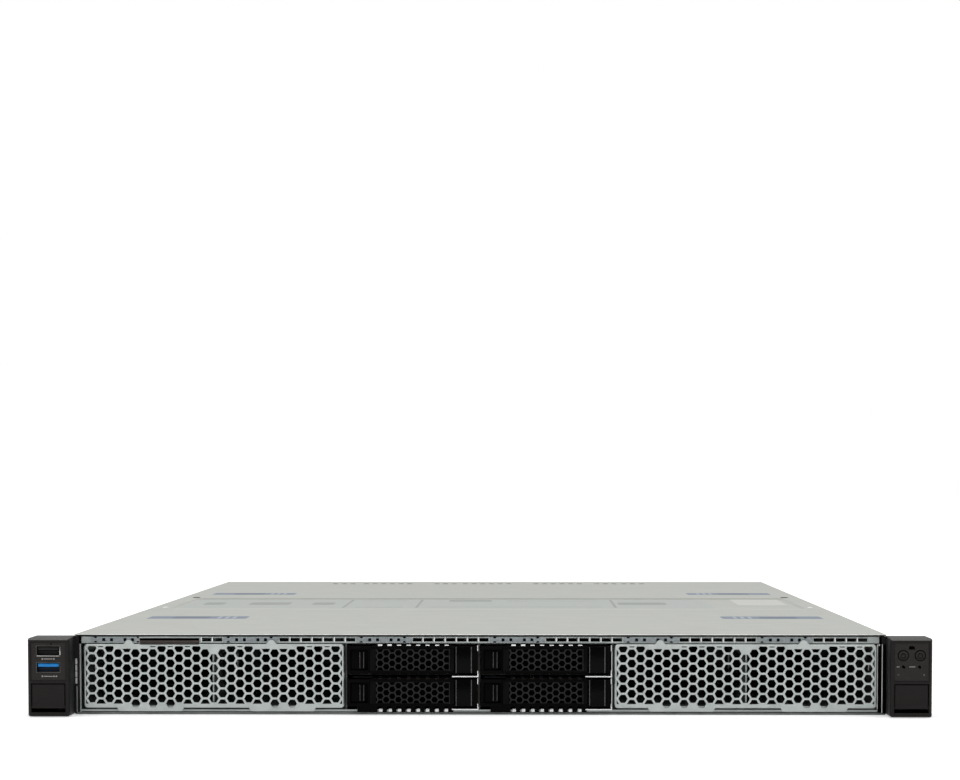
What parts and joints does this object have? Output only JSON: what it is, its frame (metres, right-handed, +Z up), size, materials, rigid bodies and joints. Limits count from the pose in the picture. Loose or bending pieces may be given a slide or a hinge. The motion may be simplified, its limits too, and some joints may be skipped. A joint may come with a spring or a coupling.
{
  "type": "1u rack server",
  "caption": "Low wide rack-mounted computer with ear modules, hot-swap drive trays between two punched hexagon panels, lift-off covers, fans and twin power supplies.",
  "frame": {"origin": "middle of the whole outline at the underside of the pan", "axes": "+X to the right as seen from the front, +Y towards the back, +Z up"},
  "size_m": [0.4826, 0.7714, 0.0435],
  "materials": {
    "galvanised_sheet": "zinc-coated sheet, satin",
    "bay_frame_steel": "zinc-coated sheet with plated spring strips",
    "vent_panel_steel": "zinc-coated punched sheet, satin",
    "cover_steel": "zinc-coated sheet, satin",
    "circuit_board": "solder mask over glass laminate",
    "ear_plastic": "moulded, fine texture",
    "bracket_steel": "zinc-coated plate",
    "module_face": "moulded, satin",
    "port_shell": "nickel-plated shell",
    "fan_plastic": "moulded",
    "connector_plastic": "moulded",
    "heatsink_aluminium": "extruded",
    "lead_sleeve": "flat sleeved lead",
    "tag_plastic": "moulded",
    "button_plastic": "moulded, satin",
    "supply_case": "plated case",
    "latch_plastic": "moulded",
    "tray_plastic": "moulded, satin",
    "drive_case": "die-cast",
    "lever_plastic": "moulded, satin",
    "release_plastic": "moulded, satin"
  },
  "bodies": {
    "chassis": {"chassis_pan": "galvanised_sheet", "rear_panel": "galvanised_sheet", "bay_frame": "bay_frame_steel", "drive_cage": "galvanised_sheet", "drive_backplane": "circuit_board", "left_ear_housing": "ear_plastic", "right_ear_housing": "ear_plastic", "ear_brackets": "bracket_steel", "module_plates": "module_face", "front_usb_ports": "port_shell", "ear_boards": "circuit_board", "fan_wall": "galvanised_sheet", "fan_frames": "fan_plastic", "motherboard": "circuit_board", "board_parts": "connector_plastic", "cpu_heatsinks": "heatsink_aluminium", "memory_modules": "circuit_board", "psu_cage": "galvanised_sheet", "riser_cage": "galvanised_sheet", "riser_boards": "circuit_board", "rear_slot_covers": "galvanised_sheet", "rear_io_ports": "port_shell", "data_leads": "lead_sleeve", "fasteners": "bracket_steel"},
    "front_lid": {"front_cover": "cover_steel"},
    "rear_lid": {"rear_cover": "cover_steel"},
    "left_blank": {"left_vent_panel": "vent_panel_steel"},
    "right_blank": {"right_vent_panel": "vent_panel_steel"},
    "tag": {"service_tag": "tag_plastic"},
    "left_flap": {"left_ear_flap": "ear_plastic"},
    "right_flap": {"right_ear_flap": "ear_plastic"},
    "power_key": {"power_button": "button_plastic"},
    "id_key": {"id_button": "button_plastic"},
    "left_supply": {"left_psu": "supply_case"},
    "right_supply": {"right_psu": "supply_case"},
    "left_latch": {"left_psu_latch": "latch_plastic"},
    "right_latch": {"right_psu_latch": "latch_plastic"},
    "tray_unit_1": {"tray_1": "tray_plastic", "drive_1": "drive_case"},
    "lever_1": {"tray_lever_1": "lever_plastic"},
    "release_1": {"tray_release_1": "release_plastic"},
    "tray_unit_2": {"tray_2": "tray_plastic", "drive_2": "drive_case"},
    "lever_2": {"tray_lever_2": "lever_plastic"},
    "release_2": {"tray_release_2": "release_plastic"},
    "tray_unit_3": {"tray_3": "tray_plastic", "drive_3": "drive_case"},
    "lever_3": {"tray_lever_3": "lever_plastic"},
    "release_3": {"tray_release_3": "release_plastic"},
    "tray_unit_4": {"tray_4": "tray_plastic", "drive_4": "drive_case"},
    "lever_4": {"tray_lever_4": "lever_plastic"},
    "release_4": {"tray_release_4": "release_plastic"},
    "fan_1": {"fan_rotor_1": "fan_plastic"},
    "fan_2": {"fan_rotor_2": "fan_plastic"},
    "fan_3": {"fan_rotor_3": "fan_plastic"},
    "fan_4": {"fan_rotor_4": "fan_plastic"},
    "fan_5": {"fan_rotor_5": "fan_plastic"},
    "fan_6": {"fan_rotor_6": "fan_plastic"},
    "fan_7": {"fan_rotor_7": "fan_plastic"}
  },
  "joints": [
    {"name": "front_lid_lift", "type": "slide", "parent": "chassis", "child": "front_lid", "axis": [0, 0, 1], "range_m": [0, 0.06]},
    {"name": "rear_lid_lift", "type": "slide", "parent": "chassis", "child": "rear_lid", "axis": [0, 0, 1], "range_m": [0, 0.06]},
    {"name": "left_blank_pull", "type": "slide", "parent": "chassis", "child": "left_blank", "axis": [0, -1, 0], "range_m": [0, 0.05]},
    {"name": "right_blank_pull", "type": "slide", "parent": "chassis", "child": "right_blank", "axis": [0, -1, 0], "range_m": [0, 0.05]},
    {"name": "tag_pull", "type": "slide", "parent": "chassis", "child": "tag", "axis": [0, -1, 0], "range_m": [0, 0.055]},
    {"name": "left_flap_turn", "type": "hinge", "parent": "chassis", "child": "left_flap", "pos_m": [-0.2304, -0.3845, 0.0055], "axis": [1, 0, 0], "range_deg": [0, 80], "stiffness_Nm_per_rad": 0.001, "springref_deg": -8.59},
    {"name": "right_flap_turn", "type": "hinge", "parent": "chassis", "child": "right_flap", "pos_m": [0.2304, -0.3845, 0.0055], "axis": [1, 0, 0], "range_deg": [0, 80], "stiffness_Nm_per_rad": 0.001, "springref_deg": -8.59},
    {"name": "power_press", "type": "slide", "parent": "chassis", "child": "power_key", "axis": [0, 1, 0], "range_m": [0, 0.0008], "stiffness_N_per_m": 400, "springref_m": -0.0005},
    {"name": "id_press", "type": "slide", "parent": "chassis", "child": "id_key", "axis": [0, 1, 0], "range_m": [0, 0.0008], "stiffness_N_per_m": 400, "springref_m": -0.0005},
    {"name": "left_supply_pull", "type": "slide", "parent": "chassis", "child": "left_supply", "axis": [0, 1, 0], "range_m": [0, 0.2]},
    {"name": "right_supply_pull", "type": "slide", "parent": "chassis", "child": "right_supply", "axis": [0, 1, 0], "range_m": [0, 0.2]},
    {"name": "left_latch_press", "type": "hinge", "parent": "left_supply", "child": "left_latch", "pos_m": [-0.2137, 0.3631, 0.0335], "axis": [0, 0, -1], "range_deg": [0, 8], "stiffness_Nm_per_rad": 0.05, "springref_deg": -2.86},
    {"name": "right_latch_press", "type": "hinge", "parent": "right_supply", "child": "right_latch", "pos_m": [0.2137, 0.3631, 0.0335], "axis": [0, 0, 1], "range_deg": [0, 8], "stiffness_Nm_per_rad": 0.05, "springref_deg": -2.86},
    {"name": "tray_1_slide", "type": "slide", "parent": "chassis", "child": "tray_unit_1", "axis": [0, -1, 0], "range_m": [0, 0.15]},
    {"name": "lever_1_swing", "type": "hinge", "parent": "tray_unit_1", "child": "lever_1", "pos_m": [-0.0147, -0.36855, 0.0298], "axis": [0, 0, 1], "range_deg": [0, 60]},
    {"name": "release_1_slide", "type": "slide", "parent": "tray_unit_1", "child": "release_1", "axis": [1, 0, 0], "range_m": [0, 0.002], "stiffness_N_per_m": 150, "springref_m": -0.001},
    {"name": "tray_2_slide", "type": "slide", "parent": "chassis", "child": "tray_unit_2", "axis": [0, -1, 0], "range_m": [0, 0.15]},
    {"name": "lever_2_swing", "type": "hinge", "parent": "tray_unit_2", "child": "lever_2", "pos_m": [-0.0147, -0.36855, 0.012], "axis": [0, 0, 1], "range_deg": [0, 60]},
    {"name": "release_2_slide", "type": "slide", "parent": "tray_unit_2", "child": "release_2", "axis": [1, 0, 0], "range_m": [0, 0.002], "stiffness_N_per_m": 150, "springref_m": -0.001},
    {"name": "tray_3_slide", "type": "slide", "parent": "chassis", "child": "tray_unit_3", "axis": [0, -1, 0], "range_m": [0, 0.15]},
    {"name": "lever_3_swing", "type": "hinge", "parent": "tray_unit_3", "child": "lever_3", "pos_m": [0.0573, -0.36855, 0.0298], "axis": [0, 0, 1], "range_deg": [0, 60]},
    {"name": "release_3_slide", "type": "slide", "parent": "tray_unit_3", "child": "release_3", "axis": [1, 0, 0], "range_m": [0, 0.002], "stiffness_N_per_m": 150, "springref_m": -0.001},
    {"name": "tray_4_slide", "type": "slide", "parent": "chassis", "child": "tray_unit_4", "axis": [0, -1, 0], "range_m": [0, 0.15]},
    {"name": "lever_4_swing", "type": "hinge", "parent": "tray_unit_4", "child": "lever_4", "pos_m": [0.0573, -0.36855, 0.012], "axis": [0, 0, 1], "range_deg": [0, 60]},
    {"name": "release_4_slide", "type": "slide", "parent": "tray_unit_4", "child": "release_4", "axis": [1, 0, 0], "range_m": [0, 0.002], "stiffness_N_per_m": 150, "springref_m": -0.001},
    {"name": "fan_1_spin", "type": "hinge", "parent": "chassis", "child": "fan_1", "pos_m": [-0.18, -0.1503, 0.0216], "axis": [0, 1, 0], "continuous": true},
    {"name": "fan_2_spin", "type": "hinge", "parent": "chassis", "child": "fan_2", "pos_m": [-0.12, -0.1503, 0.0216], "axis": [0, 1, 0], "continuous": true},
    {"name": "fan_3_spin", "type": "hinge", "parent": "chassis", "child": "fan_3", "pos_m": [-0.06, -0.1503, 0.0216], "axis": [0, 1, 0], "continuous": true},
    {"name": "fan_4_spin", "type": "hinge", "parent": "chassis", "child": "fan_4", "pos_m": [0, -0.1503, 0.0216], "axis": [0, 1, 0], "continuous": true},
    {"name": "fan_5_spin", "type": "hinge", "parent": "chassis", "child": "fan_5", "pos_m": [0.06, -0.1503, 0.0216], "axis": [0, 1, 0], "continuous": true},
    {"name": "fan_6_spin", "type": "hinge", "parent": "chassis", "child": "fan_6", "pos_m": [0.12, -0.1503, 0.0216], "axis": [0, 1, 0], "continuous": true},
    {"name": "fan_7_spin", "type": "hinge", "parent": "chassis", "child": "fan_7", "pos_m": [0.18, -0.1503, 0.0216], "axis": [0, 1, 0], "continuous": true}
  ]
}
